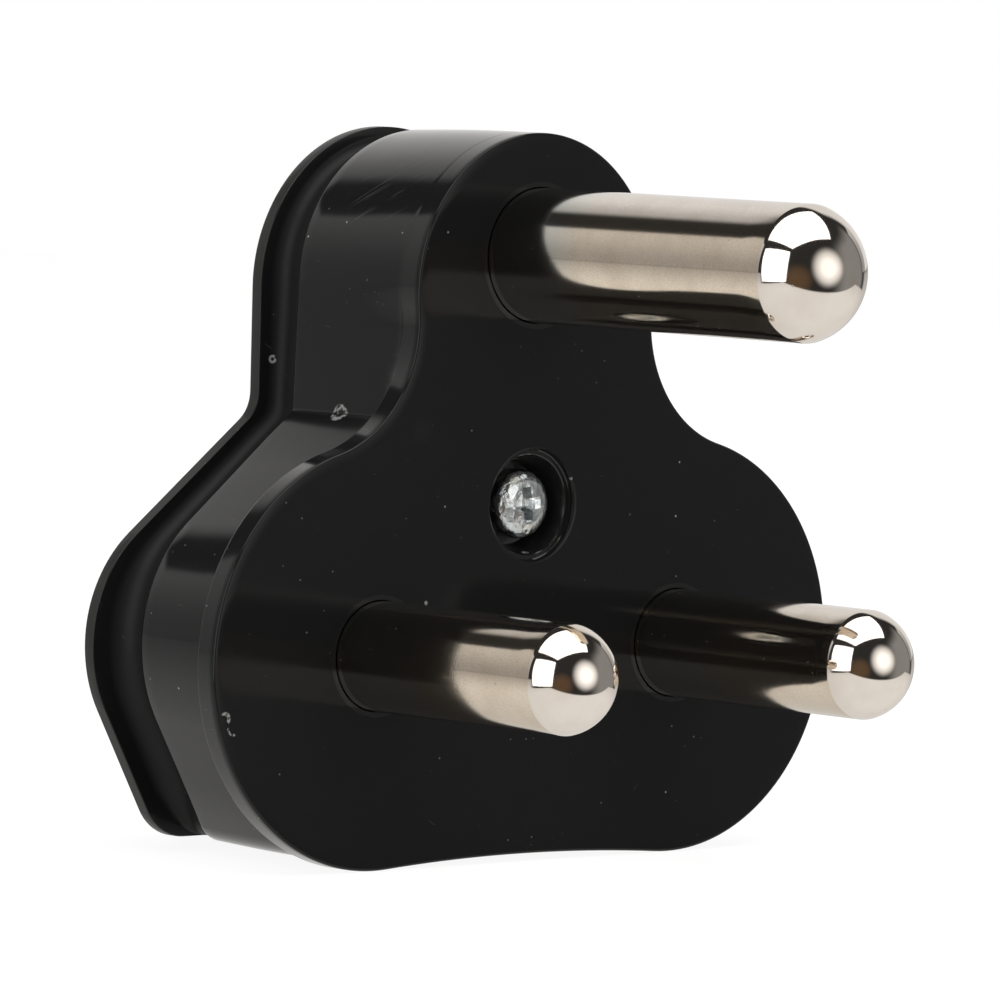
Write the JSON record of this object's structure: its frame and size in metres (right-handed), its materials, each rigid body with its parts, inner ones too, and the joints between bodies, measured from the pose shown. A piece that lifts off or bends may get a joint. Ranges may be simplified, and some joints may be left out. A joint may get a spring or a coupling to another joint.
{
  "type": "plug top",
  "caption": "Three-pin plug top with round domed pins, a clover-shaped contact face, a stepped neck with a finger lip, a centre cover screw and a cord inlet in its foot.",
  "frame": {"origin": "on the contact face, midway between the axes of the live and neutral pins", "axes": "+X to the right when facing the pins, pins pointing along -Y, +Z from the line pins up to the earth pin"},
  "size_m": [0.0524, 0.0528, 0.047],
  "materials": {
    "housing": "glossy black moulding, lightly scratched",
    "pin_plating": "bright nickel plating on brass",
    "terminal_screw": "plain turned brass",
    "screw_plating": "zinc plated",
    "nut": "zinc plated",
    "grip_bar": "zinc plated strap"
  },
  "bodies": {
    "root": {"body": "housing", "rear_cover": "housing", "earth_pin": "pin_plating", "live_pin": "pin_plating", "neutral_pin": "pin_plating", "earth_terminal_screw": "terminal_screw", "live_terminal_screw": "terminal_screw", "neutral_terminal_screw": "terminal_screw", "cover_screw": "screw_plating", "cover_nut": "nut", "cord_grip_bar": "grip_bar", "cord_grip_screw_left": "screw_plating", "cord_grip_screw_right": "screw_plating"}
  },
  "joints": []
}
